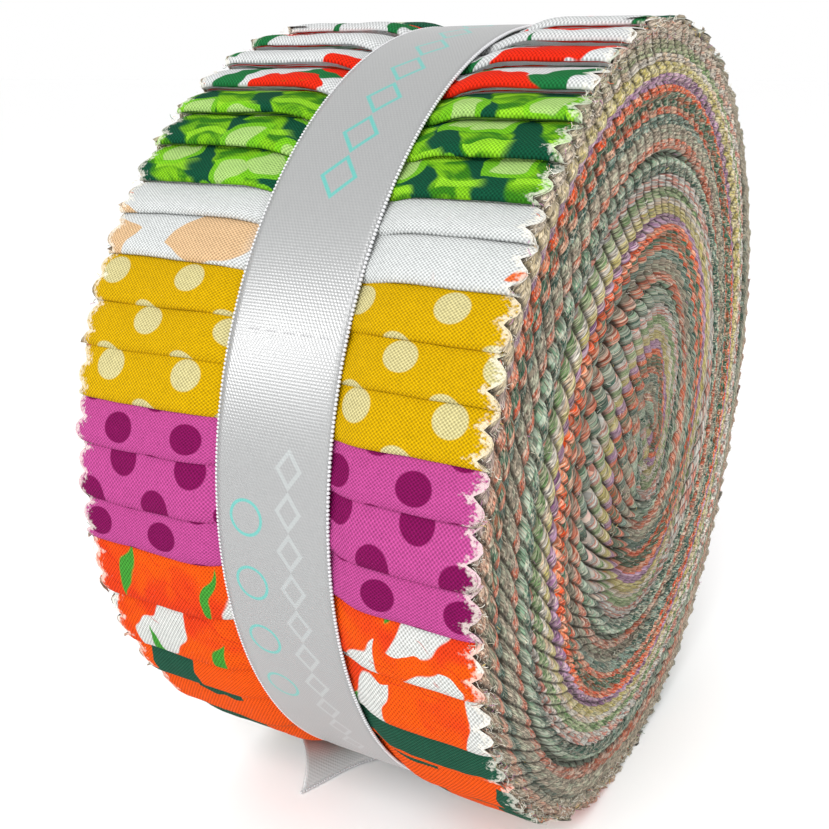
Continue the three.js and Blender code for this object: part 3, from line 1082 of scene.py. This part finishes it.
def inner_turns(radius=60.2, reach=25.4, steps=96):
    """The turns under the outer folds, plain, so that nothing shows through a crevice."""
    points, faces = [], []
    for x in (-reach, reach):
        for k in range(steps):
            angle = TURN * k / steps
            y, z = radius * math.cos(angle), radius * math.sin(angle) + AXIS_HEIGHT
            points.append((x * MM, y * MM, z * MM))
    for k in range(steps):
        n = (k + 1) % steps
        faces.append((k, n, steps + n, steps + k))
    faces += [tuple(reversed(range(steps))), tuple(range(steps, 2 * steps))]
    mesh = bpy.data.meshes.new("inner_turns")
    mesh.from_pydata(points, [], faces)
    cloth = Cloth("cotton_inside", "none")
    mesh.materials.append(cloth.finish(colour(150, 136, 118), 0.95, plain(cloth), 0.05))
    return add_object("inner_turns", mesh)


# Pieces

cottons = [printed_cotton(cotton["name"]) for cotton in COTTONS]
outer_folds = outer_folds_rule(cottons).build("outer_folds")
end_rule = end_turns_rule(cut_edges())
end_turns = [
    end_rule.build("end_turns_right_outer"),
    end_rule.build("end_turns_right_inner", First_column=844),
    end_rule.build("end_turns_left", Side=-1.0, Seed=4.0, Columns=1300, Column_step=0.78, Rows_to_a_strip=2),
]
thread_rule = loose_threads_rule(thread_cotton())
threads = [
    thread_rule.build("rim_threads_right"),
    thread_rule.build("rim_threads_left", Side=-1.0, Seed=5.0, Threads=3000),
    thread_rule.build(
        "end_threads_right",
        Seed=9.0,
        Farthest_in=61.0,
        Crowding=0.62,
        Length=0.5,
        Thickness=0.06,
        Threads=5000,
    ),
]
ribbon, ribbon_rows = make_ribbon()
inner = inner_turns()
for piece in (outer_folds, *end_turns, *threads, inner):
    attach(piece, "root")
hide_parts("strip_roll")
edge_loops = picots(ribbon_rows)
for piece in (ribbon, edge_loops):
    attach(piece, "root")
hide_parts("ribbon")

# Floor, lights and camera


def floor(reach=30.0):
    mesh = bpy.data.meshes.new("floor")
    corners = [(-reach, -reach, 0), (reach, -reach, 0), (reach, reach, 0), (-reach, reach, 0)]
    mesh.from_pydata(corners, [], [(0, 1, 2, 3)])
    material = bpy.data.materials.new("pale_floor")
    material.use_nodes = True
    surface = material.node_tree.nodes["Principled BSDF"]
    surface.inputs["Base Color"].default_value = (1, 1, 1, 1)
    surface.inputs["Roughness"].default_value = 0.8
    mesh.materials.append(material)
    add_object("floor", mesh)


def light(name, place, aim, size, power):
    lamp = bpy.data.lights.new(name, "AREA")
    lamp.size = size
    lamp.energy = power
    piece = add_object(name, lamp)
    piece.location = place
    piece.rotation_euler = (Vector(aim) - Vector(place)).to_track_quat("-Z", "Y").to_euler()
    return piece


def camera(azimuth, elevation, place, lens):
    """The photograph's camera: its angles in degrees, its place from the roll's axis and its lens."""
    azimuth, elevation = math.radians(azimuth), math.radians(elevation)
    flat = math.cos(elevation)
    back = Vector((math.sin(azimuth) * flat, -math.cos(azimuth) * flat, math.sin(elevation)))
    right = Vector((math.cos(azimuth), math.sin(azimuth), 0))
    up = back.cross(right)
    place = (Vector(place) + Vector((0, 0, AXIS_HEIGHT))) * MM
    eye = add_object("camera", bpy.data.cameras.new("camera"))
    eye.matrix_world = Matrix([[right[k], up[k], back[k], place[k]] for k in range(3)] + [[0, 0, 0, 1]])
    eye.data.sensor_width = 36
    eye.data.lens = lens
    eye.data.clip_start = 0.01
    bpy.context.scene.camera = eye


floor()
light("key", place=(0.06, -0.5, 0.44), aim=(0, 0, 0.08), size=0.3, power=2.6)
gloss = light("gloss", place=(-0.38, -0.5, 0.3), aim=(0, -0.058, 0.088), size=0.16, power=2.6)
gloss.visible_diffuse = False
light("fill", place=(0.7, -0.4, 0.35), aim=(0, 0, 0.06), size=0.6, power=0.5)
light("low", place=(0.1, -0.75, 0.05), aim=(0, 0, 0.03), size=0.4, power=0.8)
world = bpy.data.worlds.new("studio")
bpy.context.scene.world = world
world.use_nodes = True
sky = world.node_tree.nodes["Background"]
sky.inputs["Color"].default_value = (1, 1, 1, 1)
sky.inputs["Strength"].default_value = 1.0
bpy.context.scene.view_settings.view_transform = "Standard"
camera(azimuth=29.71, elevation=17.65, place=(79.18, -161.26, 54.68), lens=46.2)
